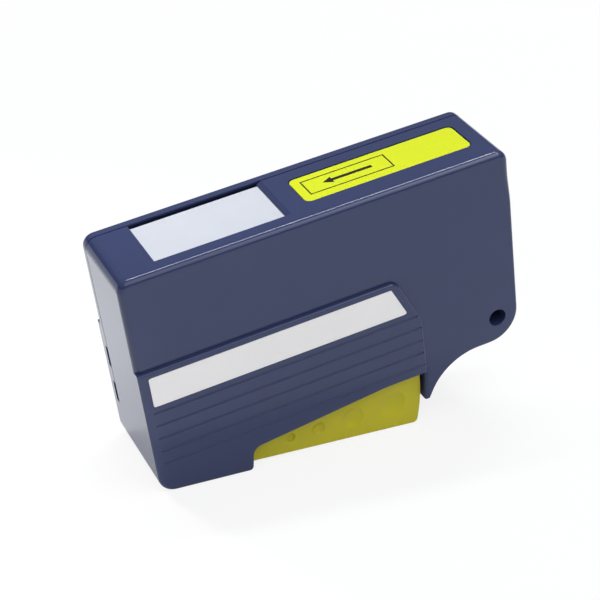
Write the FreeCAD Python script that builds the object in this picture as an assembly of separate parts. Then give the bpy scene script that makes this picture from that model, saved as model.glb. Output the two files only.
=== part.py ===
import FreeCAD, Part
import math
import os

# Squeeze-lever tape cassette for wiping fibre optic connectors, in millimetres.
# Drawing frame: X runs along the top face from the left end, Y goes back from the
# upper front face, Z is up and zero on the top face.
# The finished pieces are turned and moved once, at the end, so that the cassette
# stands on its foot and its lever with +Z up.
V = FreeCAD.Vector

# Housing
LENGTH = 117.1            # left end to right end
BODY_DEPTH = 30.2         # upper front face to upper rear face
WALL = 2.0                # moulded wall
COVER_DEPTH = 3.9         # rear cover, seam to rear face
SEAM_Y = BODY_DEPTH - COVER_DEPTH
TOP_ROUND = 3.5           # corners of the top in front view
EDGE_ROUND = 2.0          # rounded edge around the upper front face
REAR_ROUND = 1.6          # the same edge on the rear cover
LOWER_ROUND = 0.9         # the same edge around the lug and palm rest
UPPER_BAND = 8.0          # height over which the right edge keeps its full rounding
BLEND_BAND = 9.0          # and over which it then fades
BELLY_DEPTH = 62.95       # top to the flat under the lug
LUG_ROUND = 9.7           # outer corner at the strap hole
PALM_RADIUS = 18.0        # hollow under the right end
PALM_SIDE_DEG = 62.0      # how steep the hollow ends at the tongue
TONGUE_IN = 31.45         # right end to the tongue beside the lever
TONGUE_X = LENGTH - TONGUE_IN
TONGUE_LEAN = 1.2         # how far that edge leans left at the tip
TONGUE_DROP = 11.75       # belly to the tip
TONGUE_TIP = BELLY_DEPTH + TONGUE_DROP
TONGUE_WIDTH = 1.75       # tongue at its tip, before its rounding
TONGUE_ROUND = 0.6
SEAM_GAP = 0.25           # dark line between the two mouldings
SEAM_GAP_DEEP = 0.4

# Standing plane, under foot and lever
FOOT_DROP = 70.1          # top to the standing plane at the left end
BASE_DEG = 9.0            # the plane falls away to the right
FOOT_ROUND = 5.5
FOOT_TOE_ROUND = 1.2

# Raised grip panel, front and rear
PANEL_RAISE = 1.3
PANEL_EDGE = 0.6          # rounding of its rim
PANEL_TOP = 29.2          # depth below the top face
PANEL_GAP = 0.2           # panel's right edge to the tongue
PANEL_RIGHT = TONGUE_X - PANEL_GAP
PANEL_TURN_IN = 6.7       # where the top edge turns down, from the panel's right edge
PANEL_TURN = (PANEL_RIGHT - PANEL_TURN_IN, 3.5)  # with its rounding
PANEL_SLANT = (45.0, 6.0)  # depth where the slanted edge turns upright, rounding
GROOVE_TOP = 42.7         # depth of the first finger groove
GROOVE_PITCH = 4.42
GROOVE_COUNT = 5
GROOVE_RADIUS = 0.38
GROOVE_LEFT = 2.8
GROOVE_MARGIN = 0.9       # from the panel's right edge

# Lever opening
SLOT_LEFT = 28.0
SLOT_TOP = 63.7           # depth of its level part, at the right
SLOT_LEVEL_LENGTH = 13.7  # length of the level part
SLOT_LEVEL = PANEL_RIGHT - SLOT_LEVEL_LENGTH
SLOT_LOW = 67.2           # depth at its left end
SLOT_ROUND = 3.0
SLOT_BEND = 40.0          # soft bend where its edge turns level
FOOT_WALL_TOP = 71.0      # inner wall of the foot

# Strap hole
STRAP_IN = 6.93           # from the right end
STRAP_RISE = 8.25         # above the belly
STRAP_Z = BELLY_DEPTH - STRAP_RISE
STRAP_RADIUS = 2.75
STRAP_BOSS = 4.8

# Wiping window and tape
WINDOW_LEFT = 12.65
WINDOW_RIGHT = 52.85
WINDOW_FRONT = 5.4
WINDOW_BEVEL = 1.6        # sloped right edge
WINDOW_REAR = 0.5         # far edge, cut back into the cover behind the seam
COVER_LIP = 0.75          # thinned wall of the cover at that edge
LIP = 0.75                # thinned wall around the window
TAPE_DROP = 0.9           # top face to tape
TAPE_THICK = 0.2
TAPE_GAP = 0.2            # tape edge to the window's front wall
TAPE_SEAM_GAP = 0.7       # tape's far edge to the seam
TAPE_WIDTH = SEAM_Y - TAPE_SEAM_GAP - WINDOW_FRONT - TAPE_GAP
RELIEF = (4.65, 58.25)     # thinned wall, left and right ends
PAD_LEFT = WINDOW_LEFT + 1.7
PAD_RIGHT = WINDOW_RIGHT - WINDOW_BEVEL - 1.5
PAD_FOOT = 3.0            # depth of the shelf that carries the pad
PAD_ROUND = 0.8
SHELF_MARGIN = 1.0

# Labels
LABEL_RIGHT_MARGIN = 6.75
LABEL_GAP = 6.0           # window to label
LABEL_WIDTH = 13.2
LABEL_FRONT = 8.5
LABEL_ROUND = 1.8
LABEL_SINK = 0.4
LABEL_MARGIN = 0.35
STICKER = 0.2
FRONT_LABEL = (2.95, PANEL_RIGHT - 8.8, PANEL_RIGHT - 4.5, PANEL_TOP + 1.8, PANEL_TOP + 11.5)
FRONT_LABEL_ROUND = 0.6   # its outline above: left, top right, low right, top, foot
FRONT_LABEL_SINK = 0.25

# Lever and its pivot
PIVOT_X = 23.35
PIVOT_Z = 66.0
LEVER_END_GAP = 1.3       # lever's free end to the tongue
LEVER_RADIUS = TONGUE_X - PIVOT_X - LEVER_END_GAP
LEVER_LEFT = 28.65
LEVER_RISE = 0.55         # its underside at the left, above the standing plane
LEVER_TOP = 62.6          # depth of its upper edge inside the case
LEVER_WALL = 2.0
LEVER_SIDE_GAP = 0.3      # to the case and cover walls
LEVER_TIP_ROUND = 1.5
BARREL = 4.2
PIN_RADIUS = 1.5
DIMPLE_PLACES = (0.3016, 0.4467, 0.6287, 0.8402)  # share of the lever's radius
DIMPLE_RISES = (5.66, 6.26, 7.37, 8.67)  # above the standing plane
DIMPLE_RADII = (1.4, 2.15, 3.5, 4.4)
DIMPLE_DEEP = 1.0
SPRING_BEND_X = 35.35     # hairpin spring inside the lever
SPRING_REACH = 42.0       # from the pivot to its free ends
SPRING_END_X = PIVOT_X + SPRING_REACH
SPRING_BEND_Z = 64.0
SPRING_WIDTH = 8.0
SPRING_THICK = 0.6
RIB_Z = 52.6              # underside of the rib that the spring pushes on
RIB_LENGTH = 4.0
RIB_REACH = (BODY_DEPTH + SPRING_WIDTH) / 2 + 1.0

# Tape drive
MODULE = 1.0
PINION_TEETH = 18
SECTOR_TEETH = 58         # teeth of the full circle the lever's sector belongs to
MESH_DEG = 71.5           # direction from the pivot to the take-up axis
BACKLASH = 0.2
SUPPLY_IN = 29.75         # from the right end
SUPPLY_X = LENGTH - SUPPLY_IN
SUPPLY_Z = 26.0
SPINDLE = 3.0
RUN_GAP = 0.05            # radial running clearance
CORE = 8.0
SUPPLY_ROLL = 21.0
TAKE_UP_ROLL = 11.0
SUPPLY_FLANGE = 22.0
TAKE_UP_FLANGE = 17.0
FLANGE = 0.6
CLUTCH_BOSS = 4.2
CLUTCH_WIRE = 0.8
CLUTCH_GAP = 0.15         # between its turns
CLUTCH_TURNS = 4
CLUTCH_DEEP = 5.0         # how far its boss reaches into the reel
CLUTCH_POCKET = 6.4
ROLLER = 2.5
ROLLER_LEFT_X = 8.35
ROLLER_RIGHT_X = 55.35
AXLE = 1.0
AXLE_BOSS = 2.2
REEL_BOSS = 7.0           # case bosses under the reels, and the felt on them
FELT = 0.95
COVER_RING = 5.5          # ring of the cover around the supply spindle

# Clearances used between neighbouring pieces
LAYER = 0.2               # between layers stacked along Y
ROLLER_GAP = 0.12         # tape to roller
ROLL_GAP = 0.3            # tape to wound roll
PEG = 1.5
PEG_BOSS = 3.0
PEG_GAP = 0.1
PEGS = ((5.85, 57.0), (59.35, 47.0), (LENGTH - 17.25, BELLY_DEPTH - 6.65))
PEG_CORNER = (5.5, 8.5)   # from the right end, below the top
PEG_LENGTH = 8.0
NOTCHES = ((36.5, 43.5), (49.0, 56.0))
NOTCH_GAP = 0.3
NOTCH_DEEP = 2.1          # how far a notch reaches into the cover
TAB_INSET = 0.8           # tab of the main case, in from the left end
TAB_REACH = 1.6
PRESS_GAP = 0.02          # pin or axle pressed in a moulded hole

# Layers along Y, each starting where the one before ends
INNER_FRONT = WALL
INNER_REAR = BODY_DEPTH - WALL
LEVER_FRONT = INNER_FRONT + LEVER_SIDE_GAP
LEVER_REAR = INNER_REAR - LEVER_SIDE_GAP
FLANGE_FRONT = LEVER_FRONT + LEVER_WALL + LAYER
TAPE_FRONT = WINDOW_FRONT + TAPE_GAP
TAPE_REAR = TAPE_FRONT + TAPE_WIDTH
FLANGE_REAR = TAPE_REAR + LAYER
GEAR_FRONT = FLANGE_REAR + FLANGE + LAYER
BASE_SLOPE = math.tan(math.radians(BASE_DEG))
CENTRES = MODULE * (PINION_TEETH + SECTOR_TEETH) / 2
TAKE_UP_X = PIVOT_X + CENTRES * math.cos(math.radians(MESH_DEG))
TAKE_UP_Z = PIVOT_Z - CENTRES * math.sin(math.radians(MESH_DEG))
TAPE_MID_Z = -TAPE_DROP - TAPE_THICK / 2
ROLLER_PATH = ROLLER + ROLLER_GAP + TAPE_THICK / 2
ROLLER_Z = TAPE_MID_Z - ROLLER_PATH
LEVER_FAR = PIVOT_X + LEVER_RADIUS + 3 * LEVER_WALL


def base_z(x, lift=0.0):
    """Height of the standing plane at x, or of a line lift above it."""
    return -FOOT_DROP - x * BASE_SLOPE + lift / math.cos(math.radians(BASE_DEG))


def lever_under(x, lift=0.0):
    """Height of the lever's underside at x, or of a line lift above it."""
    return base_z(x, lift + LEVER_RISE * (LEVER_FAR - x) / (LEVER_FAR - LEVER_LEFT))


def outline(corners):
    """Closed XZ wire through (x, z, rounding) corners."""
    count = len(corners)
    bends = []
    for i in range(count):
        x, z, r = corners[i]
        here = V(x, 0, z)
        before = V(corners[i - 1][0], 0, corners[i - 1][1])
        after = V(corners[(i + 1) % count][0], 0, corners[(i + 1) % count][1])
        come = (here - before).normalize()
        leave = (after - here).normalize()
        turn = come.getAngle(leave)
        if r <= 0 or turn < 1e-6:
            bends.append((here, None, here))
            continue
        reach = r * math.tan(turn / 2)
        inward = (leave - come).normalize()
        crown = here + inward * (r / math.cos(turn / 2) - r)
        bends.append((here - come * reach, crown, here + leave * reach))
    edges = []
    for i in range(count):
        start, crown, end = bends[i]
        if crown is not None:
            edges.append(Part.Arc(start, crown, end).toShape())
        follow = bends[(i + 1) % count][0]
        if (follow - end).Length > 1e-6:
            edges.append(Part.LineSegment(end, follow).toShape())
    return Part.Wire(edges)


def prism(corners, y0, y1):
    """The rounded outline extruded from y0 to y1."""
    face = Part.Face(outline(corners))
    face.translate(V(0, y0, 0))
    return face.extrude(V(0, y1 - y0, 0))


def box(x0, x1, y0, y1, z0, z1):
    return Part.makeBox(x1 - x0, y1 - y0, z1 - z0, V(x0, y0, z0))


def rod(x, z, r, y0, y1):
    return Part.makeCylinder(r, y1 - y0, V(x, y0, z), V(0, 1, 0))


def ring(x, z, outer, inner, y0, y1):
    return rod(x, z, outer, y0, y1).cut(rod(x, z, inner, y0 - 1, y1 + 1))


def front_edges(shape, y, keep):
    """Edges lying in the plane at y whose middle point passes the keep test."""
    found = []
    for edge in shape.Edges:
        flat = abs(edge.BoundBox.YMin - y) < 1e-6 and abs(edge.BoundBox.YMax - y) < 1e-6
        if flat and keep(edge.CenterOfMass):
            found.append(edge)
    return found


def panel_corners():
    """Outline of the raised grip panel, the foot and the slot edge."""
    toe_z = base_z(SLOT_LEFT)
    return [
        (0, -PANEL_TOP, 0),
        (PANEL_TURN[0], -PANEL_TOP, PANEL_TURN[1]),
        (PANEL_RIGHT, -PANEL_SLANT[0], PANEL_SLANT[1]),
        (PANEL_RIGHT, -SLOT_TOP, 0),
        (SLOT_LEVEL, -SLOT_TOP, SLOT_BEND),
        (SLOT_LEFT + 1.2, -SLOT_LOW, SLOT_ROUND),
        (SLOT_LEFT, toe_z, FOOT_TOE_ROUND),
        (0, -FOOT_DROP, FOOT_ROUND),
    ]


def half_shell(depth, edge):
    """One half of the housing, front face at y=0, open towards +Y at depth."""
    lug_z = -(BELLY_DEPTH - LUG_ROUND)
    blend_z = -UPPER_BAND - BLEND_BAND
    upper = prism([(0, 0, TOP_ROUND), (LENGTH, 0, TOP_ROUND),
                   (LENGTH, -UPPER_BAND, 0), (0, -UPPER_BAND, 0)], 0, depth)
    upper = upper.makeFillet(edge, front_edges(upper, 0, lambda c: c.z > -UPPER_BAND + 1))
    blend = box(0, LENGTH, 0, depth, blend_z, -UPPER_BAND)
    blend = blend.makeFillet(edge, front_edges(blend, 0, lambda c: c.x < 1))
    right = front_edges(blend, 0, lambda c: c.x > LENGTH - 1)
    low_end = right[0].Vertexes[0].Point.z < right[0].Vertexes[-1].Point.z
    radii = (edge, LOWER_ROUND) if low_end else (LOWER_ROUND, edge)
    blend = blend.makeFillet(radii[0], radii[1], right)
    middle = box(0, LENGTH, 0, depth, lug_z, blend_z)
    middle = middle.makeFillet(edge, front_edges(middle, 0, lambda c: c.x < 1))
    middle = middle.makeFillet(LOWER_ROUND, front_edges(middle, 0, lambda c: c.x > LENGTH - 1))
    tip_left = TONGUE_X - TONGUE_LEAN
    tip_right = tip_left + TONGUE_WIDTH
    side = math.radians(PALM_SIDE_DEG)
    palm_x = tip_right + (TONGUE_TIP - BELLY_DEPTH) / math.tan(side)
    root_x = PANEL_RIGHT - WALL
    lower = prism([(root_x, lug_z, 0), (LENGTH, lug_z, 0),
                   (LENGTH, -BELLY_DEPTH, LUG_ROUND), (palm_x, -BELLY_DEPTH, PALM_RADIUS),
                   (tip_right, -TONGUE_TIP, TONGUE_ROUND), (tip_left, -TONGUE_TIP, TONGUE_ROUND),
                   (TONGUE_X, -BELLY_DEPTH, 0), (root_x, -BELLY_DEPTH, 0)], 0, depth)
    rim = front_edges(lower, 0, lambda c: c.x > tip_right and c.z < lug_z - 0.1)
    lower = lower.makeFillet(LOWER_ROUND, rim)
    panel = prism(panel_corners(), -PANEL_RAISE, depth)
    rim = front_edges(panel, -PANEL_RAISE, lambda c: True)
    panel = panel.makeFillet(PANEL_EDGE, rim)
    shell = upper.fuse([blend, middle, lower, panel]).removeSplitter()
    floor_left = base_z(WALL, WALL)
    under = base_z(LENGTH) - WALL
    inner_toe = SLOT_LEFT - WALL
    cavity = prism([(WALL, -WALL, 1.5), (LENGTH - WALL, -WALL, 1.5),
                    (LENGTH - WALL, -BELLY_DEPTH + WALL, LUG_ROUND - WALL),
                    (TONGUE_X, -BELLY_DEPTH + WALL, 0), (TONGUE_X, -BELLY_DEPTH, 0),
                    (tip_left, -TONGUE_TIP, 0), (tip_left, under, 0),
                    (SLOT_LEFT, under, 0), (SLOT_LEFT, -FOOT_WALL_TOP, 0),
                    (inner_toe, -FOOT_WALL_TOP, 0), (inner_toe, base_z(inner_toe, WALL), 0.5),
                    (WALL, floor_left, FOOT_ROUND - WALL)], WALL, depth + 1)
    shell = shell.cut(cavity)
    cuts = []
    for i in range(GROOVE_COUNT):
        z = -(GROOVE_TOP + i * GROOVE_PITCH)
        slant = (PANEL_RIGHT - PANEL_TURN[0]) / (PANEL_SLANT[0] - PANEL_TOP)
        end = PANEL_RIGHT - max(0.0, PANEL_SLANT[0] + z) * slant - GROOVE_MARGIN
        start = V(GROOVE_LEFT, -PANEL_RAISE, z)
        cuts.append(Part.makeCylinder(GROOVE_RADIUS, end - GROOVE_LEFT, start, V(1, 0, 0)))
        cuts.append(Part.makeSphere(GROOVE_RADIUS, start))
        cuts.append(Part.makeSphere(GROOVE_RADIUS, V(end, -PANEL_RAISE, z)))
    return shell.cut(cuts)


def window_cut():
    """The wiping window with its sloped right edge, through the top wall."""
    foot_x = WINDOW_RIGHT - WINDOW_BEVEL
    run = WINDOW_BEVEL / LIP
    hole = prism([(WINDOW_LEFT, 1, 0), (WINDOW_RIGHT + run, 1, 0), (foot_x, -LIP, 0),
                  (foot_x, -WALL - 1, 0), (WINDOW_LEFT, -WALL - 1, 0)],
                 WINDOW_FRONT, SEAM_Y + 1)
    relief = box(RELIEF[0], RELIEF[1], WINDOW_FRONT - TAPE_GAP, SEAM_Y + 1, -WALL - 1, -LIP)
    return [hole, relief]


def label_corners(margin):
    x1 = LENGTH - LABEL_RIGHT_MARGIN + margin
    x0 = WINDOW_RIGHT + LABEL_GAP - margin
    y0 = LABEL_FRONT - margin
    y1 = LABEL_FRONT + LABEL_WIDTH + margin
    return x0, x1, y0, y1, LABEL_ROUND + margin


def top_plate(margin, z0, z1):
    """Rounded plate in plan for the label and its recess."""
    x0, x1, y0, y1, r = label_corners(margin)
    plate = box(x0, x1, y0, y1, z0, z1)
    upright = [e for e in plate.Edges if abs(e.BoundBox.ZLength - (z1 - z0)) < 1e-6]
    return plate.makeFillet(r, upright)


def front_label_plate(margin, y0, y1):
    left, top_right, low_right, top, foot = FRONT_LABEL
    r = FRONT_LABEL_ROUND + margin
    return prism([(left - margin, -top + margin, r), (top_right + margin, -top + margin, r),
                  (low_right + margin, -foot - margin, r), (left - margin, -foot - margin, r)],
                 y0, y1)


def peg_places():
    return list(PEGS) + [(LENGTH - PEG_CORNER[0], PEG_CORNER[1])]


def main_case():
    body = half_shell(SEAM_Y, EDGE_ROUND).cut(window_cut())
    strap_x = LENGTH - STRAP_IN
    boss = rod(strap_x, -STRAP_Z, STRAP_BOSS, WALL / 2, INNER_REAR - 0.1)
    inside = box(0, LENGTH - WALL / 2, 0, SEAM_Y - LAYER, -BELLY_DEPTH + WALL / 2, 0)
    beyond = prism([(0, 0, 0), (LENGTH - WALL - LAYER, 0, 0),
                    (LENGTH - WALL - LAYER, -BELLY_DEPTH + WALL + LAYER, LUG_ROUND - WALL - LAYER),
                    (0, -BELLY_DEPTH + WALL + LAYER, 0)], 0, BODY_DEPTH)
    add = [boss.common(inside), boss.common(beyond)]
    for x, depth in peg_places():
        add.append(rod(x, -depth, PEG_BOSS, WALL / 2, SEAM_Y - LAYER))
    for x, z in ((SUPPLY_X, SUPPLY_Z), (TAKE_UP_X, TAKE_UP_Z)):
        add.append(rod(x, -z, REEL_BOSS, WALL / 2, FLANGE_FRONT - FELT - RUN_GAP))
        add.append(rod(x, -z, SPINDLE, WALL / 2, LEVER_REAR))
    for x in (ROLLER_LEFT_X, ROLLER_RIGHT_X):
        add.append(rod(x, ROLLER_Z, AXLE_BOSS, WALL / 2, TAPE_FRONT - 0.6))
    add.append(box(PAD_LEFT - SHELF_MARGIN, PAD_RIGHT + SHELF_MARGIN, WALL / 2, TAPE_REAR - LAYER,
                   -PAD_FOOT - WALL, -PAD_FOOT))
    for low, high in NOTCHES:
        add.append(box(TAB_INSET, WALL, SEAM_Y - WALL, SEAM_Y + TAB_REACH,
                       -high + NOTCH_GAP, -low - NOTCH_GAP))
    add.append(box(SPRING_END_X - RIB_LENGTH, SPRING_END_X, WALL / 2, RIB_REACH,
                   -RIB_Z, -RIB_Z + WALL))
    body = body.fuse(add)
    cuts = [rod(strap_x, -STRAP_Z, STRAP_RADIUS, -5, BODY_DEPTH + 5)]
    for x, depth in peg_places():
        cuts.append(rod(x, -depth, PEG + PEG_GAP, SEAM_Y - PEG_LENGTH - 1, SEAM_Y + 1))
    for x in (ROLLER_LEFT_X, ROLLER_RIGHT_X):
        cuts.append(rod(x, ROLLER_Z, AXLE + PRESS_GAP, WALL / 2, TAPE_FRONT))
    cuts.append(rod(PIVOT_X, -PIVOT_Z, PIN_RADIUS + PRESS_GAP, INNER_FRONT - 1.4, INNER_FRONT + 1))
    cuts.append(top_plate(LABEL_MARGIN, -LABEL_SINK, 1))
    deep = FRONT_LABEL_SINK - PANEL_RAISE
    cuts.append(front_label_plate(0.1, -PANEL_RAISE - 1, deep))
    return body.cut(cuts)


def rear_cover():
    half = half_shell(BODY_DEPTH - SEAM_Y, REAR_ROUND)
    cover = half.mirror(V(0, BODY_DEPTH / 2, 0), V(0, 1, 0))
    strap_x = LENGTH - STRAP_IN
    cover = cover.fuse([rod(x, -depth, PEG, SEAM_Y - PEG_LENGTH, INNER_REAR + 0.5)
                        for x, depth in peg_places()]
                       + [ring(SUPPLY_X, -SUPPLY_Z, COVER_RING, SPINDLE + 0.4,
                               FLANGE_REAR + FLANGE + 0.3, INNER_REAR + 0.5)])
    low = -(BELLY_DEPTH - LUG_ROUND)
    frame = box(-1, LENGTH + 1, SEAM_Y - 0.1, SEAM_Y + SEAM_GAP_DEEP, low, 1).cut(
        prism([(SEAM_GAP, -SEAM_GAP, TOP_ROUND - SEAM_GAP),
               (LENGTH - SEAM_GAP, -SEAM_GAP, TOP_ROUND - SEAM_GAP),
               (LENGTH - SEAM_GAP, low - 1, 0), (SEAM_GAP, low - 1, 0)], SEAM_Y - 1, SEAM_Y + WALL))
    cuts = [frame, rod(strap_x, -STRAP_Z, STRAP_RADIUS, SEAM_Y, BODY_DEPTH + 5)]
    cuts.append(rod(PIVOT_X, -PIVOT_Z, PIN_RADIUS + PRESS_GAP, INNER_REAR - 1, INNER_REAR + 1.4))
    for notch_top, notch_foot in NOTCHES:
        cuts.append(box(-1, WALL + 0.1, SEAM_Y - 1, SEAM_Y + NOTCH_DEEP, -notch_foot, -notch_top))
    cuts.append(box(WINDOW_LEFT, WINDOW_RIGHT, SEAM_Y - 1, SEAM_Y + WINDOW_REAR, -WALL - 1, 1))
    cuts.append(box(WINDOW_LEFT, WINDOW_RIGHT, SEAM_Y - 1, INNER_REAR, -WALL - 1, -COVER_LIP))
    return cover.cut(cuts)


def tooth_profile(teeth, turn_deg, first, last, rim):
    """Points of external teeth first..last about the origin, angles in the XZ plane."""
    pitch = MODULE * teeth / 2
    base = pitch * math.cos(math.radians(20))
    tip = pitch + 0.95 * MODULE
    root = pitch - 1.25 * MODULE
    half = (math.pi * MODULE / 2 - BACKLASH / 2) / (2 * pitch)
    lean = math.tan(math.acos(base / pitch)) - math.acos(base / pitch)
    low = max(base + 0.02, root)
    radii = [low + (tip - low) * k / 3 for k in range(4)]
    points = []
    for k in range(first, last + 1):
        mid = math.radians(turn_deg) + 2 * math.pi * k / teeth
        flank = []
        for r in radii:
            spread = math.tan(math.acos(base / r)) - math.acos(base / r)
            flank.append((r, half + lean - spread))
        foot = flank[0][1]
        points.append((root, mid - foot))
        points += [(r, mid - a) for r, a in flank]
        points += [(r, mid + a) for r, a in reversed(flank)]
        points.append((root, mid + foot))
    return [(r * math.cos(a), r * math.sin(a)) for r, a in points] + list(rim)


def toothed_plate(points, x, z, y0, y1):
    ring_points = [V(x + px, y0, z + pz) for px, pz in points]
    ring_points.append(ring_points[0])
    return Part.Face(Part.makePolygon(ring_points)).extrude(V(0, y1 - y0, 0))


def lever():
    far = LEVER_FAR
    side = [(PIVOT_X - BARREL, -PIVOT_Z + BARREL, BARREL * 0.95), (far, -LEVER_TOP, 0),
            (far, lever_under(far), 0), (LEVER_LEFT, lever_under(LEVER_LEFT), 0.6),
            (LEVER_LEFT, -PIVOT_Z - BARREL, 0), (PIVOT_X - BARREL, -PIVOT_Z - BARREL, BARREL * 0.95)]
    body = prism(side, LEVER_FRONT, LEVER_REAR)
    body = body.common(rod(PIVOT_X, -PIVOT_Z, LEVER_RADIUS, LEVER_FRONT - 1, LEVER_REAR + 1))
    across = [e for e in body.Edges if e.BoundBox.YLength > (LEVER_REAR - LEVER_FRONT) / 2
              and e.CenterOfMass.x > PIVOT_X + LEVER_RADIUS / 2]
    tip = min(across, key=lambda e: e.CenterOfMass.z)
    body = body.makeFillet(LEVER_TIP_ROUND, [tip])
    inner_x = LEVER_LEFT + LEVER_WALL
    trough = prism([(inner_x, -LEVER_TOP / 2, 0), (far, -LEVER_TOP / 2, 0),
                    (far, lever_under(far, LEVER_WALL), 0),
                    (inner_x, lever_under(inner_x, LEVER_WALL), 1.0)],
                   LEVER_FRONT + LEVER_WALL, LEVER_REAR - LEVER_WALL)
    trough = trough.common(rod(PIVOT_X, -PIVOT_Z, LEVER_RADIUS - LEVER_WALL,
                               LEVER_FRONT, LEVER_REAR))
    body = body.cut(trough)
    reach = MODULE * SECTOR_TEETH / 2
    low_end = math.radians(MESH_DEG - 4.5 * 360 / SECTOR_TEETH)
    inside = reach - 2 * MODULE
    high_end = math.radians(MESH_DEG + 2.5 * 360 / SECTOR_TEETH)
    rim = [(inside * math.cos(high_end), inside * math.sin(high_end)), (-0.7 * BARREL, 0.7 * BARREL),
           (2.85 * BARREL, -0.25 * BARREL), (inside * math.cos(low_end), inside * math.sin(low_end))]
    points = tooth_profile(SECTOR_TEETH, MESH_DEG, -4, 2, rim)
    body = body.fuse(toothed_plate(points, PIVOT_X, -PIVOT_Z, GEAR_FRONT, LEVER_REAR))
    cuts = [rod(PIVOT_X, -PIVOT_Z, PIN_RADIUS + RUN_GAP, 0, BODY_DEPTH)]
    for share, rise, r in zip(DIMPLE_PLACES, DIMPLE_RISES, DIMPLE_RADII):
        x = PIVOT_X + share * LEVER_RADIUS
        z = base_z(x) + rise
        ball = (r * r + DIMPLE_DEEP ** 2) / (2 * DIMPLE_DEEP)
        cuts.append(Part.makeSphere(ball, V(x, LEVER_FRONT + DIMPLE_DEEP - ball, z)))
        cuts.append(Part.makeSphere(ball, V(x, LEVER_REAR - DIMPLE_DEEP + ball, z)))
    return body.cut(cuts)


def drive_pinion():
    """Gear meshing the lever's sector, with a boss for the clutch spring."""
    gap_mid = MESH_DEG + 180 + 180.0 / PINION_TEETH
    points = tooth_profile(PINION_TEETH, gap_mid, 0, PINION_TEETH - 1, [])
    gear = toothed_plate(points, TAKE_UP_X, -TAKE_UP_Z, GEAR_FRONT, LEVER_REAR - RUN_GAP)
    boss = rod(TAKE_UP_X, -TAKE_UP_Z, CLUTCH_BOSS, FLANGE_REAR - CLUTCH_DEEP,
               (GEAR_FRONT + LEVER_REAR) / 2)
    return gear.fuse(boss).removeSplitter().cut(
        rod(TAKE_UP_X, -TAKE_UP_Z, SPINDLE + RUN_GAP, 0, BODY_DEPTH))


def clutch_spring():
    """Square-wire wrap spring, a short stack of turns around the pinion's boss."""
    inner = CLUTCH_BOSS + 2 * RUN_GAP
    outer = inner + CLUTCH_WIRE
    pitch = CLUTCH_WIRE + CLUTCH_GAP
    first = FLANGE_REAR - CLUTCH_DEEP + 2 * LAYER
    turns = []
    links = []
    for i in range(CLUTCH_TURNS):
        y = first + i * pitch
        turns.append(ring(TAKE_UP_X, -TAKE_UP_Z, outer, inner, y, y + CLUTCH_WIRE))
    for i in range(CLUTCH_TURNS - 1):
        y = first + i * pitch + CLUTCH_WIRE / 2
        links.append(box(TAKE_UP_X + inner + CLUTCH_GAP, TAKE_UP_X + outer - CLUTCH_GAP, y, y + pitch,
                         -TAKE_UP_Z - CLUTCH_WIRE / 2, -TAKE_UP_Z + CLUTCH_WIRE / 2))
    return turns[0].fuse(turns[1:] + links)


def reel(x, z, flange, pocket):
    """Core with two flanges; pocket opens its rear end for the clutch."""
    body = rod(x, z, CORE, FLANGE_FRONT, FLANGE_REAR + FLANGE)
    body = body.fuse([rod(x, z, flange, FLANGE_FRONT, FLANGE_FRONT + FLANGE),
                      rod(x, z, flange, FLANGE_REAR, FLANGE_REAR + FLANGE)])
    cuts = [rod(x, z, SPINDLE + RUN_GAP, 0, BODY_DEPTH)]
    if pocket:
        cuts.append(rod(x, z, CLUTCH_POCKET, FLANGE_REAR - CLUTCH_DEEP - LAYER, BODY_DEPTH))
    return body.cut(cuts)


def roll(x, z, outer):
    return ring(x, z, outer, CORE + RUN_GAP, TAPE_FRONT, TAPE_REAR)


def tangent(a, ra, sense_a, b, rb, sense_b):
    """Points where a web leaves circle a and meets circle b; sense 1 turns anticlockwise."""
    dx = b[0] - a[0]
    dz = b[1] - a[1]
    shift = sense_b * rb - sense_a * ra
    angle = math.atan2(dz, dx) + math.asin(-shift / math.hypot(dx, dz))
    nx = math.sin(angle)
    nz = -math.cos(angle)
    leave = (a[0] + sense_a * ra * nx, a[1] + sense_a * ra * nz)
    meet = (b[0] + sense_b * rb * nx, b[1] + sense_b * rb * nz)
    return leave, meet


def web_points():
    """Corner points of the tape's run, supply roll to take-up roll."""
    supply = (SUPPLY_X, -SUPPLY_Z)
    right = (ROLLER_RIGHT_X, ROLLER_Z)
    left = (ROLLER_LEFT_X, ROLLER_Z)
    take_up = (TAKE_UP_X, -TAKE_UP_Z)
    half = TAPE_THICK / 2
    out, rise = tangent(supply, SUPPLY_ROLL + ROLL_GAP + half, -1, right, ROLLER_PATH, 1)
    drop, home = tangent(left, ROLLER_PATH, 1, take_up, TAKE_UP_ROLL + ROLL_GAP + half, -1)
    return out, rise, right, left, drop, home


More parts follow.
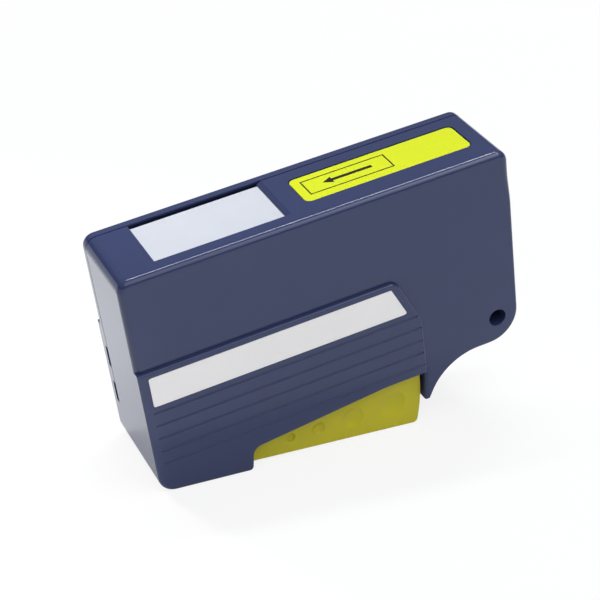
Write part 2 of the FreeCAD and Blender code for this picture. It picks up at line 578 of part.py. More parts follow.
def cleaning_tape():
    """The run of tape as one thin web: line, arc, line, arc, line."""
    out, rise, right, left, drop, home = web_points()
    half = TAPE_THICK / 2

    def side(offset):
        r = ROLLER_PATH + offset

        def on(centre, point):
            a = math.atan2(point[1] - centre[1], point[0] - centre[0])
            return a, V(centre[0] + r * math.cos(a), 0, centre[1] + r * math.sin(a))

        def shifted(point, toward):
            length = math.hypot(toward[0] - point[0], toward[1] - point[1])
            nx = (toward[1] - point[1]) / length
            nz = -(toward[0] - point[0]) / length
            return V(point[0] + offset * nx, 0, point[1] + offset * nz)

        a1, p1 = on(right, rise)
        a2, p2 = math.pi / 2, V(right[0], 0, right[1] + r)
        a3, p3 = math.pi / 2, V(left[0], 0, left[1] + r)
        a4, p4 = on(left, drop)
        if a4 < a3:
            a4 += 2 * math.pi
        m1 = V(right[0] + r * math.cos((a1 + a2) / 2), 0, right[1] + r * math.sin((a1 + a2) / 2))
        m2 = V(left[0] + r * math.cos((a3 + a4) / 2), 0, left[1] + r * math.sin((a3 + a4) / 2))
        start = shifted(out, rise)
        end_length = math.hypot(home[0] - drop[0], home[1] - drop[1])
        end = V(home[0] + offset * (home[1] - drop[1]) / end_length, 0,
                home[1] - offset * (home[0] - drop[0]) / end_length)
        return [Part.LineSegment(start, p1).toShape(), Part.Arc(p1, m1, p2).toShape(),
                Part.LineSegment(p2, p3).toShape(), Part.Arc(p3, m2, p4).toShape(),
                Part.LineSegment(p4, end).toShape()], start, end

    outer, outer_start, outer_end = side(half)
    inner, inner_start, inner_end = side(-half)
    ends = [Part.LineSegment(outer_end, inner_end).toShape(),
            Part.LineSegment(inner_start, outer_start).toShape()]
    wire = Part.Wire(Part.__sortEdges__(outer + inner + ends))
    web = Part.Face(wire).extrude(V(0, TAPE_WIDTH, 0))
    web.translate(V(0, TAPE_FRONT, 0))
    return web


def backing_pad():
    top = TAPE_MID_Z - TAPE_THICK / 2 - 0.05
    return prism([(PAD_LEFT, top, PAD_ROUND), (PAD_RIGHT, top, PAD_ROUND),
                  (PAD_RIGHT, -PAD_FOOT, 0), (PAD_LEFT, -PAD_FOOT, 0)],
                 TAPE_FRONT + 0.1, TAPE_REAR - 0.3)


def return_spring():
    """Flat steel hairpin between a rib of the case and the floor of the lever."""
    t = SPRING_THICK
    low_x = SPRING_END_X
    low_z = lever_under(low_x, LEVER_WALL + RUN_GAP)
    bend_x = SPRING_BEND_X
    bend_z = lever_under(bend_x, LEVER_WALL + RUN_GAP)
    high_z = -RIB_Z - RUN_GAP
    outer = [(low_x, high_z, 0), (bend_x, -SPRING_BEND_Z, 2.5), (bend_x, bend_z, 2.5),
             (low_x, low_z, 0), (low_x, low_z + t, 0), (bend_x + t, bend_z + t + 0.1, 2.0),
             (bend_x + t, -SPRING_BEND_Z - t + 0.1, 2.0), (low_x, high_z - t, 0)]
    front = (BODY_DEPTH - SPRING_WIDTH) / 2
    return prism(outer, front, front + SPRING_WIDTH)


def stand(shape):
    """Turn and move a piece from the drawing frame to the standing frame."""
    c = math.cos(math.radians(BASE_DEG))
    s = math.sin(math.radians(BASE_DEG))
    left = TOP_ROUND * c + TOP_ROUND * s - TOP_ROUND
    lug_x = LENGTH - LUG_ROUND
    lug_z = -(BELLY_DEPTH - LUG_ROUND)
    right = lug_x * c - lug_z * s + LUG_ROUND
    placed = shape.copy()
    placed.rotate(V(0, 0, 0), V(0, 1, 0), -BASE_DEG)
    placed.translate(V(-(left + right) / 2, -BODY_DEPTH / 2, FOOT_DROP * c))
    return placed


def place(name, x, y, z):
    spot = stand(Part.Vertex(x, y, z)).Point
    print("%s at %.3f %.3f %.3f mm" % (name, spot.x, spot.y, spot.z))


pieces = {
    "main_case": main_case(),
    "rear_cover": rear_cover(),
    "lever": lever(),
    "lever_pivot_pin": rod(PIVOT_X, -PIVOT_Z, PIN_RADIUS, INNER_FRONT - 1.3, INNER_REAR + 1.2),
    "lever_return_spring": return_spring(),
    "drive_pinion": drive_pinion(),
    "clutch_spring": clutch_spring(),
    "take_up_reel": reel(TAKE_UP_X, -TAKE_UP_Z, TAKE_UP_FLANGE, True),
    "take_up_roll": roll(TAKE_UP_X, -TAKE_UP_Z, TAKE_UP_ROLL),
    "supply_reel": reel(SUPPLY_X, -SUPPLY_Z, SUPPLY_FLANGE, False),
    "supply_roll": roll(SUPPLY_X, -SUPPLY_Z, SUPPLY_ROLL),
    "left_guide_roller": ring(ROLLER_LEFT_X, ROLLER_Z, ROLLER, AXLE + RUN_GAP,
                              TAPE_FRONT - 0.3, TAPE_REAR + 0.2),
    "right_guide_roller": ring(ROLLER_RIGHT_X, ROLLER_Z, ROLLER, AXLE + RUN_GAP,
                               TAPE_FRONT - 0.3, TAPE_REAR + 0.2),
    "left_guide_axle": rod(ROLLER_LEFT_X, ROLLER_Z, AXLE, WALL / 2 + 0.1, TAPE_REAR + 0.8),
    "right_guide_axle": rod(ROLLER_RIGHT_X, ROLLER_Z, AXLE, WALL / 2 + 0.1, TAPE_REAR + 0.8),
    "backing_pad": backing_pad(),
    "cleaning_tape": cleaning_tape(),
    "direction_label": top_plate(0.0, -LABEL_SINK, -LABEL_SINK + STICKER),
    "front_label": front_label_plate(0.0, FRONT_LABEL_SINK - PANEL_RAISE - STICKER,
                                     FRONT_LABEL_SINK - PANEL_RAISE),
    "supply_friction_washer": ring(SUPPLY_X, -SUPPLY_Z, REEL_BOSS, SPINDLE + 0.1,
                                   FLANGE_FRONT - FELT - RUN_GAP, FLANGE_FRONT - RUN_GAP),
    "take_up_friction_washer": ring(TAKE_UP_X, -TAKE_UP_Z, REEL_BOSS, SPINDLE + 0.1,
                                    FLANGE_FRONT - FELT - RUN_GAP, FLANGE_FRONT - RUN_GAP),
}

os.makedirs("parts", exist_ok=True)
for name, shape in pieces.items():
    shape = shape.removeSplitter()
    stand(shape).exportStep("parts/%s.step" % name)
    print(name, len(shape.Solids), "solid", shape.isValid(), "%.1f mm3" % shape.Volume, flush=True)
place("lever pivot", PIVOT_X, BODY_DEPTH / 2, -PIVOT_Z)
place("take-up axis", TAKE_UP_X, BODY_DEPTH / 2, -TAKE_UP_Z)
place("supply axis", SUPPLY_X, BODY_DEPTH / 2, -SUPPLY_Z)
place("left roller", ROLLER_LEFT_X, BODY_DEPTH / 2, ROLLER_Z)
place("right roller", ROLLER_RIGHT_X, BODY_DEPTH / 2, ROLLER_Z)
place("strap hole", LENGTH - STRAP_IN, BODY_DEPTH / 2, -STRAP_Z)
place("foot middle", SLOT_LEFT / 2, BODY_DEPTH / 2, base_z(SLOT_LEFT / 2))
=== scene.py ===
# %% [markdown]
# # A fibre optic cleaning cassette
# The hard pieces of this cassette come from the CAD model as a fixed frame. Blender adds what
# CAD leaves plain: the cloth tape, the turns of the wound rolls, the printed arrow, a folded
# hairpin spring and every finish. We load the frame first, because every later piece is placed by it.

# %% Load the CAD frame
import bmesh
import bpy
import math
from mathutils import Matrix, Vector


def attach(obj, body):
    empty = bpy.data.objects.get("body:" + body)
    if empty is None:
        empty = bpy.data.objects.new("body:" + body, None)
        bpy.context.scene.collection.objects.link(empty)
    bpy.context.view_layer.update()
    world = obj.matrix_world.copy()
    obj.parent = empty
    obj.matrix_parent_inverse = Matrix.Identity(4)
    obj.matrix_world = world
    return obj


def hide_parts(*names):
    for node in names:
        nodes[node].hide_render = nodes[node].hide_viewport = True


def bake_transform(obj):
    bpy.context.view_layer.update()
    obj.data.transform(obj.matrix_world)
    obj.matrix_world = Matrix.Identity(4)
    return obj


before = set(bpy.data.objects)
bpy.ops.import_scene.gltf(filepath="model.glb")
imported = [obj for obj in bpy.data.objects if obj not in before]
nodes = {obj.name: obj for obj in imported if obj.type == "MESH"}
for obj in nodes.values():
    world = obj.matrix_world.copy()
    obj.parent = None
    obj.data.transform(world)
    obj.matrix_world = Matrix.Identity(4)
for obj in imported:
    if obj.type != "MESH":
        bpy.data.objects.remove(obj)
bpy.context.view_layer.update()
scene = bpy.context.scene

# %% [markdown]
# The cassette stands on its foot and its lever, so its top face rises nine degrees to the
# right. Sizes on a moulded case are easier to read along its own faces. We keep one matrix that
# takes such a case point, in millimetres from the left end, the front and the top, into the frame.

# %% Case coordinates
MM = 0.001
LEAN = math.radians(9.0)
CASE_ORIGIN = Vector((-0.0623061, -0.0151, 0.0692370))  # left end, front face and top face
CASE = Matrix.Translation(CASE_ORIGIN) @ Matrix.Rotation(-LEAN, 4, "Y") @ Matrix.Scale(MM, 4)


def case_point(x, y, z):
    """A point of the case, in millimetres, as a place in the frame."""
    return CASE @ Vector((x, y, z))


print("left end of the top face at", [round(v, 4) for v in case_point(0, 0, 0)])

# %% [markdown]
# The camera comes early, because it decides what counts. It was solved from the straight edges
# of the case: a long lens, about half a metre away, looking down at 31 degrees past the left end.

# %% Camera
camera = bpy.data.objects.new("camera", bpy.data.cameras.new("camera"))
scene.collection.objects.link(camera)
camera.location = (-0.190822, -0.395392, 0.305867)
camera.rotation_euler = [math.radians(angle) for angle in (59.0340, -1.4349, -24.6360)]
camera.data.sensor_width = 36.0
camera.data.lens = 107.19
camera.data.clip_start = 0.01
scene.camera = camera
scene.view_settings.view_transform = "Standard"
print("camera lens", round(camera.data.lens, 1), "mm")

# %% [markdown]
# Every finish below is a small tree of shader nodes. Nodes can be wired one socket at a time, but
# that hides the idea in a long list. Our helper adds a node and fills its inputs in the same
# line: a plain value is set, and the output of another node is joined.

# %% Helper for shader nodes
def node_tree(owner):
    """Empties the node tree of a material or world, and returns a helper that adds nodes to it."""
    owner.use_nodes = True
    tree = owner.node_tree
    tree.nodes.clear()

    def fill(socket, value):
        if isinstance(value, bpy.types.NodeSocket):
            tree.links.new(value, socket)
        else:
            socket.default_value = value

    def add(kind, *in_order, **named):
        """A node with inputs in order or by name, To_Min for To Min, and settings in lower case."""
        node = tree.nodes.new("ShaderNode" + kind)
        for socket, value in zip(node.inputs, in_order):
            fill(socket, value)
        for key, value in named.items():
            if key.islower():
                setattr(node, key, value)
            else:
                fill(node.inputs[key.replace("_", " ")], value)
        return node

    return add


def combine(add, operation, first, second):
    """One number out of two, such as their product or the larger one."""
    return add("Math", first, second, operation=operation).outputs[0]


def mirrored_rays(add, path):
    """1 for a ray that left a glossy surface or went through a clear one."""
    return combine(add, "MAXIMUM", path.outputs["Is Glossy Ray"], path.outputs["Is Transmission Ray"])


print("node helper ready")

# %% [markdown]
# The cassette stands on a white sheet. A sheet that is only lit comes out grey towards the edges
# of the picture, and more light would bleach the object. So most of what the camera sees of it is
# a glow. Near the object a share of lit paint is left, which takes the soft shadow. Reflections
# see the lit paint near the object, and the glow farther out.

# %% Floor
FLOOR_HALF = 3.0
SHEET_NEAR, SHEET_FAR = 0.15, 0.5   # metres from the object, between which the glow grows
NEAR_GLOW = 0.82

floor_mesh = bpy.data.meshes.new("floor")
bm = bmesh.new()
bmesh.ops.create_grid(bm, x_segments=1, y_segments=1, size=FLOOR_HALF)
bm.to_mesh(floor_mesh)
bm.free()
floor = bpy.data.objects.new("floor", floor_mesh)
scene.collection.objects.link(floor)

floor_material = bpy.data.materials.new("pale_floor")
add = node_tree(floor_material)
where = add("TexCoord").outputs["Object"]
distance = add("VectorMath", where, operation="LENGTH").outputs["Value"]
path = add("LightPath")
shares = []
for near, rays in ((NEAR_GLOW, path.outputs["Is Camera Ray"]), (0.0, mirrored_rays(add, path))):
    grow = add("MapRange", Value=distance, From_Min=SHEET_NEAR, From_Max=SHEET_FAR, To_Min=near)
    shares.append(combine(add, "MULTIPLY", rays, grow.outputs[0]))
paint = add("BsdfDiffuse", Color=(0.8, 0.8, 0.8, 1))
glow = add("Emission", Color=(1, 1, 1, 1), Strength=1.0)
sheet = add("MixShader", combine(add, "MAXIMUM", *shares), paint.outputs[0], glow.outputs[0])
add("OutputMaterial", Surface=sheet.outputs[0])
floor_mesh.materials.append(floor_material)
print("floor", 2 * FLOOR_HALF, "m wide")

# %% [markdown]
# Glossy plastic shows its surroundings as much as its own colour. An even white surround would
# wash out the dark lines beside the rounded edges, so this one is dim low down and brighter
# overhead: a gradient by height. The camera sees plain white instead, and reflections see the
# foot of that white as a low wall at the horizon.

# %% Surroundings
SKY_LOW, SKY_HIGH = 0.06, 0.38
SKY_FROM, SKY_TO = 0.05, 0.75       # the gradient's ends, as the sine of the angle above the horizon
WALL_FROM, WALL_TO = 0.02, 0.10     # where the white wall fades out

world = bpy.data.worlds.new("light_tent")
scene.world = world
add = node_tree(world)
height = add("SeparateXYZ", add("TexCoord").outputs["Generated"]).outputs["Z"]
sky = add("MapRange", interpolation_type="SMOOTHSTEP", Value=height, From_Min=SKY_FROM,
          From_Max=SKY_TO, To_Min=SKY_LOW, To_Max=SKY_HIGH)
wall = add("MapRange", Value=height, From_Min=WALL_FROM, From_Max=WALL_TO, To_Min=1.0, To_Max=0.0)
path = add("LightPath")
mirrored_wall = combine(add, "MULTIPLY", mirrored_rays(add, path), wall.outputs[0])
white = combine(add, "MAXIMUM", path.outputs["Is Camera Ray"], mirrored_wall)
strength = combine(add, "MAXIMUM", sky.outputs[0], white)
tent = add("Background", Color=(1, 1, 1, 1), Strength=strength)
add("OutputWorld", Surface=tent.outputs[0])
print("surroundings from", SKY_LOW, "to", SKY_HIGH)

# %% [markdown]
# Four soft lamps and a spot make the rest. The key is wide, so that the finger grooves stay dark
# instead of glinting. The strip hangs behind and above, where the rounded near edge of the top
# mirrors it as a thin bright line. Top and fill add cool light from the right. The spot lights a
# patch of floor behind the left end: that end is seen at a flat angle, and mirrors the patch as
# the pale sheen that the photograph shows.

# %% Lamps
COOL = (0.90, 0.95, 1.0)


def hang(name, light, place, aim):
    """Puts a light at place, turned to face aim."""
    lamp = bpy.data.objects.new(name, light)
    scene.collection.objects.link(lamp)
    lamp.location = place
    lamp.rotation_euler = (Vector(aim) - Vector(place)).to_track_quat("-Z", "Y").to_euler()
    return lamp


def softbox(name, place, aim, size, watts, colour=(1, 1, 1)):
    """Hangs a rectangular lamp."""
    light = bpy.data.lights.new(name, "AREA")
    light.shape = "RECTANGLE"
    light.size, light.size_y = size
    light.energy = watts
    light.color = colour
    hang(name, light, place, aim)


softbox("key", place=(0.1, -0.75, 1.05), aim=(0, 0, 0.04), size=(1.7, 1.1), watts=8.6)
softbox("top", place=(0.5, 0.05, 1.2), aim=(0, 0, 0.05), size=(1.0, 0.2), watts=2.0, colour=COOL)
softbox("strip", place=(0.1, 0.36, 1.12), aim=(0.1, 0, 0.05), size=(0.8, 0.08), watts=6.4, colour=COOL)
softbox("fill", place=(0.5, -0.35, 1.15), aim=(0, 0, 0.05), size=(0.9, 0.5), watts=2.5, colour=COOL)
spot = bpy.data.lights.new("behind", "SPOT")
spot.energy = 16.5
spot.spot_size = math.radians(19)
spot.spot_blend = 0.6
spot.shadow_soft_size = 0.08
behind = hang("behind", spot, place=(-0.3, 0.5, 0.38), aim=(-0.075, 0.045, 0))
behind.visible_glossy = False

# %% [markdown]
# Most of the object is one navy moulding plastic. Real mouldings have a very fine spark-eroded
# grain and a gloss that varies a little, with no two square centimetres quite the same. An image
# could paint that, but it would need a UV map on every CAD piece. So a small noise drives
# roughness and bump, and a wide one shifts the colour by a few percent.

# %% Moulded plastic
GLOSS_DRIFT = 0.07


def moulded(name, colour, roughness, grain=3500.0, grain_depth=0.012, drift=0.06, gloss=0.5):
    """A moulded plastic: colour drift, uneven gloss and a fine grain, on Object coordinates."""
    material = bpy.data.materials.new(name)
    add = node_tree(material)
    where = add("TexCoord").outputs["Object"]
    wide = add("TexNoise", Vector=where, Scale=55.0, Detail=3.0)
    tint = add("MixRGB", Fac=wide.outputs["Fac"],
               Color1=[c * (1 - drift) for c in colour] + [1],
               Color2=[c * (1 + drift) for c in colour] + [1])
    fine = add("TexNoise", Vector=where, Scale=grain, Detail=2.0).outputs["Fac"]
    sheen = add("MapRange", Value=fine, To_Min=roughness * (1 - GLOSS_DRIFT),
                To_Max=roughness * (1 + GLOSS_DRIFT))
    bump = add("Bump", Height=fine, Strength=grain_depth, Distance=0.00001)
    shader = add("BsdfPrincipled", Base_Color=tint.outputs[0], Roughness=sheen.outputs[0],
                 Normal=bump.outputs[0], Specular_IOR_Level=gloss)
    add("OutputMaterial", Surface=shader.outputs[0])
    return material


def dress(material, *names):
    """Gives CAD nodes a finish."""
    for name in names:
        mesh = nodes[name].data
        mesh.materials.clear()
        mesh.materials.append(material)
    print(material.name, "on", ", ".join(names))


dress(moulded("navy_moulding", (0.0275, 0.0385, 0.108), 0.13, gloss=0.45),
      "main_case", "rear_cover")
dress(moulded("lime_moulding", (0.525, 0.473, 0.005), 0.38), "lever")
dress(moulded("natural_moulding", (0.72, 0.70, 0.62), 0.45),
      "drive_pinion", "left_guide_roller", "right_guide_roller")
dress(moulded("black_moulding", (0.022, 0.022, 0.024), 0.40), "take_up_reel", "supply_reel")

# %% [markdown]
# Pins, axles and springs are plain steel. Drawn wire and ground pins have fine scratches along
# their length, so a noise stretched along the axis does better than a round one. Rubber and felt
# are dull and soft: the plastic's nodes serve them too, with a coarser grain and less gloss.

# %% Steel, rubber and felt
def steel(name):
    """Bare steel with fine scratches along the axles."""
    material = bpy.data.materials.new(name)
    add = node_tree(material)
    where = add("TexCoord").outputs["Object"]
    stretched = add("Mapping", Vector=where, Scale=(1.0, 0.05, 1.0))
    lines = add("TexNoise", Vector=stretched.outputs[0], Scale=2200.0, Detail=4.0)
    rough = add("MapRange", Value=lines.outputs["Fac"], To_Min=0.22, To_Max=0.42)
    shader = add("BsdfPrincipled", Metallic=1.0, Base_Color=(0.55, 0.55, 0.56, 1),
                 Roughness=rough.outputs[0])
    add("OutputMaterial", Surface=shader.outputs[0])
    return material


drawn_steel = steel("drawn_steel")
dress(drawn_steel, "lever_pivot_pin", "lever_return_spring", "clutch_spring",
      "left_guide_axle", "right_guide_axle")
dress(moulded("pad_rubber", (0.05, 0.05, 0.052), 0.75, grain=1500.0, gloss=0.3), "backing_pad")
dress(moulded("grey_felt", (0.30, 0.30, 0.28), 0.95, grain=900.0, grain_depth=0.08, gloss=0.1),
      "supply_friction_washer", "take_up_friction_washer")

# %% [markdown]
# The two labels are printed film. Film is smoother than the moulding, and its colour is more
# even. It needs no shader of its own: the plastic's nodes do, with a flatter grain and less
# drift. The pale label stays bare here.

# %% Label film
FILM_GRAIN = 1800.0


def film(name, colour, roughness):
    """Smooth printed film."""
    return moulded(name, colour, roughness, grain=FILM_GRAIN, grain_depth=0.001, drift=0.02)


dress(film("yellow_film", (0.62, 0.69, 0.005), 0.28), "direction_label")
dress(film("pale_film", (0.84, 0.825, 0.825), 0.34), "front_label")

# %% [markdown]
# An arrow in a frame shows the wiping direction. It could be painted by the material, but print
# has an edge, so it is made as a skin of ink a few hundredths of a millimetre thick on the label.
# The frame is a rectangle that is inset, with only the rim kept.

# %% Printed frame
LABEL_TOP = -0.2                    # the label lies a little below the top face
INK = 0.03
FRAME_LEFT, FRAME_RIGHT = 61.45, 87.5
FRAME_NEAR, FRAME_FAR = 11.5, 19.3
FRAME_LINE = 0.42


def finished(name, bm, material, body=None):
    """Turns a bmesh drawn in case millimetres into a piece, which rides on a body if one is named."""
    bm.transform(CASE)
    bmesh.ops.recalc_face_normals(bm, faces=bm.faces)
    mesh = bpy.data.meshes.new(name)
    bm.to_mesh(mesh)
    bm.free()
    mesh.materials.append(material)
    piece = bpy.data.objects.new(name, mesh)
    scene.collection.objects.link(piece)
    if body:
        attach(piece, body)
    print(name, "has", len(mesh.polygons), "faces")
    return piece


def ink_rectangle(bm, left, right, near, far):
    """A flat rectangle on the label, in case millimetres."""
    verts = bmesh.ops.create_grid(bm, x_segments=1, y_segments=1, size=0.5)["verts"]
    bmesh.ops.scale(bm, verts=verts, vec=(right - left, far - near, 1))
    bmesh.ops.translate(bm, verts=verts, vec=((left + right) / 2, (near + far) / 2, LABEL_TOP))


def raise_ink(bm):
    """Gives flat faces the thickness of the ink."""
    lifted = bmesh.ops.extrude_face_region(bm, geom=bm.faces[:])
    up = [v for v in lifted["geom"] if isinstance(v, bmesh.types.BMVert)]
    bmesh.ops.translate(bm, verts=up, vec=(0, 0, INK))


ink = moulded("black_ink", (0.012, 0.012, 0.012), 0.45, grain=FILM_GRAIN, grain_depth=0.004, gloss=0.2)
bm = bmesh.new()
ink_rectangle(bm, FRAME_LEFT, FRAME_RIGHT, FRAME_NEAR, FRAME_FAR)
inside = bm.faces[:]
bmesh.ops.inset_region(bm, faces=inside, thickness=FRAME_LINE, use_even_offset=True,
                       use_boundary=True)
bmesh.ops.delete(bm, geom=inside, context="FACES")
raise_ink(bm)
finished("arrow_frame", bm, ink, "case")

# %% [markdown]
# The arrow is drawn from two flat shapes. Its shaft is another rectangle. Its head is a circle of
# three corners, stretched to the head's length and width, which needs no list of points.

# %% Printed arrow
ARROW_TAIL, ARROW_NECK, ARROW_TIP, ARROW_Y = 82.1, 69.75, 66.85, 15.4
SHAFT_HALF, HEAD_HALF = 0.62, 1.65
TRIANGLE_HEIGHT = 1.5                       # of a triangle in a circle of radius 1
TRIANGLE_HALF = math.sin(math.radians(60))  # half its base

bm = bmesh.new()
ink_rectangle(bm, ARROW_NECK, ARROW_TAIL, ARROW_Y - SHAFT_HALF, ARROW_Y + SHAFT_HALF)
head = bmesh.ops.create_circle(bm, cap_ends=True, segments=3, radius=1.0,
                               matrix=Matrix.Rotation(math.radians(90), 4, "Z"))["verts"]
stretch = ((ARROW_NECK - ARROW_TIP) / TRIANGLE_HEIGHT, HEAD_HALF / TRIANGLE_HALF, 1)
bmesh.ops.scale(bm, verts=head, vec=stretch)
head_left = min(v.co.x for v in head)
bmesh.ops.translate(bm, verts=head, vec=(ARROW_TIP - head_left, ARROW_Y, LABEL_TOP))
raise_ink(bm)
finished("arrow", bm, ink, "case")

# %% [markdown]
# The cleaning cloth is a long knitted ribbon. It leaves the full roll on the right, turns over a
# guide roller, lies flat in the window on its rubber pad, turns down over the left roller and
# joins the take-up roll. Its route could be a list of points, but a stretched ribbon runs along
# the lines that touch two circles, so it is worked out from the rolls and the rollers.

# %% Route of the tape
SUPPLY_AXIS, TAKE_UP_AXIS = Vector((87.35, 0, -26.0)), Vector((35.408, 0, -29.964))
RIGHT_AXIS, LEFT_AXIS = Vector((55.35, 0, -3.72)), Vector((8.35, 0, -3.72))
SUPPLY_ROLL, TAKE_UP_ROLL, ROLL_GAP = 21.0, 11.0, 0.3
ROLLER, ROLLER_GAP = 2.5, 0.12
TAPE_THICK = 0.2
ROLLER_PATH = ROLLER + ROLLER_GAP + TAPE_THICK / 2  # to the middle of the tape
ROLL_LIFT = ROLL_GAP + TAPE_THICK / 2               # the rolls turn free of the run


def tangent(first, first_radius, second, second_radius):
    """Where a ribbon leaves one circle and meets the next; a negative radius is wound clockwise."""
    span = second - first
    shift = first_radius - second_radius
    angle = math.atan2(span.z, span.x) + math.asin(shift / math.hypot(span.x, span.z))
    out = Vector((math.sin(angle), 0, -math.cos(angle)))
    return first + out * first_radius, second + out * second_radius


def sweep_angle(centre, start, end):
    """Anticlockwise angle from start to end round a roller, seen from the front."""
    first = math.atan2(start.z - centre.z, start.x - centre.x)
    last = math.atan2(end.z - centre.z, end.x - centre.x)
    return (last - first) % (2 * math.pi)


leave, rise = tangent(SUPPLY_AXIS, -(SUPPLY_ROLL + ROLL_LIFT), RIGHT_AXIS, ROLLER_PATH)
drop, home = tangent(LEFT_AXIS, ROLLER_PATH, TAKE_UP_AXIS, -(TAKE_UP_ROLL + ROLL_LIFT))
top_right = RIGHT_AXIS + Vector((0, 0, ROLLER_PATH))
top_left = LEFT_AXIS + Vector((0, 0, ROLLER_PATH))
right_turn = sweep_angle(RIGHT_AXIS, rise, top_right)
left_turn = sweep_angle(LEFT_AXIS, top_left, drop)

# %% [markdown]
# One cross edge is swept along that route: extruded for the straight runs and spun round each
# roller, so the ribbon keeps its true length. A curve with a flat profile would do as well, but
# it twists easily.

# %% Ribbon
TAPE_FRONT, TAPE_WIDTH = 5.6, 20.0


def run(bm, edge, by, steps):
    """Extrudes the cross edge along a straight run and returns its far end."""
    for _ in range(steps):
        made = bmesh.ops.extrude_edge_only(bm, edges=[edge])["geom"]
        ends = [g for g in made if isinstance(g, bmesh.types.BMVert)]
        bmesh.ops.translate(bm, verts=ends, vec=by / steps)
        edge = next(g for g in made if isinstance(g, bmesh.types.BMEdge)
                    and all(v in ends for v in g.verts))
    return edge


def wrap(bm, edge, centre, angle, steps):
    """Spins the cross edge round a roller and returns its far end."""
    made = bmesh.ops.spin(bm, geom=[edge, *edge.verts], cent=centre, axis=(0, -1, 0), angle=angle,
                          steps=steps, use_duplicate=False)["geom_last"]
    return next(g for g in made if isinstance(g, bmesh.types.BMEdge))


ribbon = bmesh.new()
ends = [ribbon.verts.new((leave.x, y, leave.z)) for y in (TAPE_FRONT, TAPE_FRONT + TAPE_WIDTH)]
edge = ribbon.edges.new(ends)
edge = run(ribbon, edge, rise - leave, steps=6)
edge = wrap(ribbon, edge, RIGHT_AXIS, right_turn, steps=14)
edge = run(ribbon, edge, top_left - top_right, steps=24)
edge = wrap(ribbon, edge, LEFT_AXIS, left_turn, steps=26)
run(ribbon, edge, home - drop, steps=6)
bmesh.ops.remove_doubles(ribbon, verts=ribbon.verts, dist=0.0001)
for rim in ribbon.edges:
    rim.smooth = not rim.is_boundary
print("ribbon of", len(ribbon.faces), "faces")

# %% [markdown]
# The cloth is a fine knit, dull and slightly blue-white. At this size its loops are far too small
# to model, so two crossed waves in the bump stand for the rows and ribs of the knit.

# %% Cloth tape
KNIT = 900.0


def cloth(name):
    """A fine knitted cleaning cloth: rows of tiny loops, and a slight unevenness of white."""
    material = bpy.data.materials.new(name)
    add = node_tree(material)
    where = add("TexCoord").outputs["Object"]
    wide = add("TexNoise", Vector=where, Scale=120.0, Detail=4.0)
    tint = add("MixRGB", Fac=wide.outputs["Fac"], Color1=(0.49, 0.505, 0.555, 1),
               Color2=(0.53, 0.545, 0.595, 1))
    rows, ribs = [add("TexWave", wave_type="BANDS", bands_direction=way, Vector=where, Scale=KNIT)
                  for way in "YX"]
    knit = combine(add, "MULTIPLY", rows.outputs["Fac"], ribs.outputs["Fac"])
    bump = add("Bump", Height=knit, Strength=0.25, Distance=0.00003)
    shader = add("BsdfPrincipled", Base_Color=tint.outputs[0], Normal=bump.outputs[0],
                 Roughness=0.85, Specular_IOR_Level=0.25, Sheen_Weight=0.15)
    add("OutputMaterial", Surface=shader.outputs[0])
    return material


white_cloth = cloth("white_cloth")
tape = finished("cloth_tape", ribbon, white_cloth, "case")
for face in tape.data.polygons:
    face.use_smooth = True
thick = tape.modifiers.new("cloth thickness", "SOLIDIFY")
thick.thickness = TAPE_THICK * MM
thick.offset = 0.0
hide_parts("cleaning_tape")

# %% [markdown]
# The lever is pushed back by a flat steel hairpin spring. Its lower arm lies on the lever's floor
# and its upper arm presses up on a rib of the case, so it closes as the lever is squeezed.

# %% Return spring
SPRING_FRONT, SPRING_WIDTH, SPRING_THICK = 11.1, 8.0, 0.6
ARM_END, BACK = 65.35, 35.65
UPPER_TIP, UPPER_FOLD, LOWER_FOLD, LOWER_TIP = -52.97, -64.2, -72.8, -77.85
ROUTE = ((ARM_END, UPPER_TIP), (BACK, UPPER_FOLD), (BACK, LOWER_FOLD), (ARM_END, LOWER_TIP))
FOLD = 2.0
LONG_EDGE = 20                      # only the arms' edges are longer

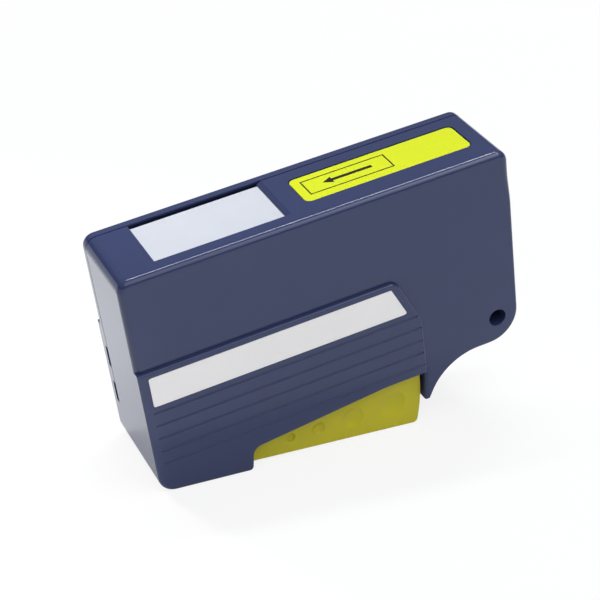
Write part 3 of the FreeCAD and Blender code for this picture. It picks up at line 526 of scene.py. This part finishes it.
bm = bmesh.new()
strip = [bm.verts.new((x, SPRING_FRONT, z)) for x, z in ROUTE]
line = [bm.edges.new(pair) for pair in zip(strip, strip[1:])]
made = bmesh.ops.extrude_edge_only(bm, edges=line)["geom"]
far_side = [g for g in made if isinstance(g, bmesh.types.BMVert)]
bmesh.ops.translate(bm, verts=far_side, vec=(0, SPRING_WIDTH, 0))
folds = [e for e in bm.edges if len(e.link_faces) == 2]
bmesh.ops.bevel(bm, geom=folds, offset=FOLD, offset_type="OFFSET", affect="EDGES", segments=8,
                profile=0.5, material=-1)
arms = [e for e in bm.edges if e.calc_length() > LONG_EDGE]
bmesh.ops.subdivide_edges(bm, edges=arms, cuts=15, use_grid_fill=True)
bmesh.ops.recalc_face_normals(bm, faces=bm.faces)
bmesh.ops.solidify(bm, geom=bm.faces[:], thickness=SPRING_THICK)
spring = finished("hairpin_spring", bm, drawn_steel)
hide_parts("lever_return_spring")
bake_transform(spring)

# %% [markdown]
# The wound rolls show their turns on the ends. Every turn could be modelled, but dozens of them
# would only cost faces. One turned profile with a saw-tooth rim shows the same: it is drawn once
# and spun a full turn round the reel's axis.

# %% Wound rolls
TOOTH = 0.52
RIDGE, VALLEY, SHOULDER = 0.02, 0.14, 0.05   # how far each lies inside the tape's edge
ROLL_INNER = 8.05


def wound_roll(name, centre, outer, body, node):
    """A roll of tape whose end faces are stepped by its turns."""
    count = int((outer - ROLL_INNER) / TOOTH)
    step = (outer - ROLL_INNER) / count
    front = []
    for i in range(count):
        front.append((ROLL_INNER + i * step, TAPE_FRONT + RIDGE))
        front.append((ROLL_INNER + (i + 0.5) * step, TAPE_FRONT + VALLEY))
    front.append((outer, TAPE_FRONT + SHOULDER))
    far = TAPE_FRONT + TAPE_WIDTH
    rear = [(r, far - (y - TAPE_FRONT)) for r, y in reversed(front)]
    bm = bmesh.new()
    verts = [bm.verts.new((centre.x + r, y, centre.z)) for r, y in front + rear]
    edges = [bm.edges.new(pair) for pair in zip(verts, verts[1:] + verts[:1])]
    bmesh.ops.spin(bm, geom=verts + edges, cent=centre, axis=(0, 1, 0), angle=2 * math.pi,
                   steps=96, use_merge=True, use_duplicate=False)
    bmesh.ops.remove_doubles(bm, verts=bm.verts, dist=0.0001)
    piece = finished(name, bm, white_cloth, body)
    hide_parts(node)


wound_roll("fresh_roll", SUPPLY_AXIS, SUPPLY_ROLL, "supply_body", "supply_roll")
wound_roll("used_roll", TAKE_UP_AXIS, TAKE_UP_ROLL, "take_up_body", "take_up_roll")
